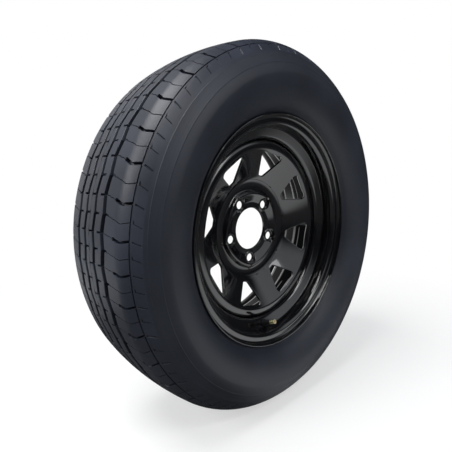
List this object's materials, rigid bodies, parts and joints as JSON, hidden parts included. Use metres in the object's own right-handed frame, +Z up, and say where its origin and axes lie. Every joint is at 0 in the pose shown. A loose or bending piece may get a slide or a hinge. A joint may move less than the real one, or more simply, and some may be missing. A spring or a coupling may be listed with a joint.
{
  "type": "wheel and tyre assembly",
  "caption": "Steel disc wheel with a dished, windowed disc, a mounted radial tyre and a snap-in valve.",
  "frame": {"origin": "centre of the wheel, on the axle line, midway between the rim flanges, in the plane of the hub face", "axes": "+Z up as the wheel stands; the axle lies along Y, with the street side facing -Y and the hub side facing +Y"},
  "size_m": [0.6546, 0.2192, 0.6526],
  "materials": {
    "tyre_rubber": "satin",
    "gloss_paint": "gloss",
    "painted_weld": "gloss",
    "valve_rubber": "satin",
    "brass": "satin",
    "pin_brass": "satin",
    "pale_seal": "matte",
    "spring_steel": "satin"
  },
  "bodies": {
    "wheel": {"tyre": "tyre_rubber", "rim_barrel": "gloss_paint", "wheel_disc": "gloss_paint", "disc_welds": "painted_weld", "valve_rubber": "valve_rubber", "valve_stem": "brass", "core_nut": "brass", "core_barrel": "brass", "core_barrel_seal": "pale_seal", "core_spring": "spring_steel"},
    "valve_pin": {"core_pin": "pin_brass", "core_cup": "brass", "core_cup_seal": "valve_rubber"}
  },
  "joints": [
    {"name": "valve_pin_push", "type": "slide", "parent": "wheel", "child": "valve_pin", "axis": [-0.0218, 0.9297, -0.3676], "range_m": [0, 0.001], "stiffness_N_per_m": 600, "springref_m": -0.0005, "deforming": ["core_spring"]}
  ]
}
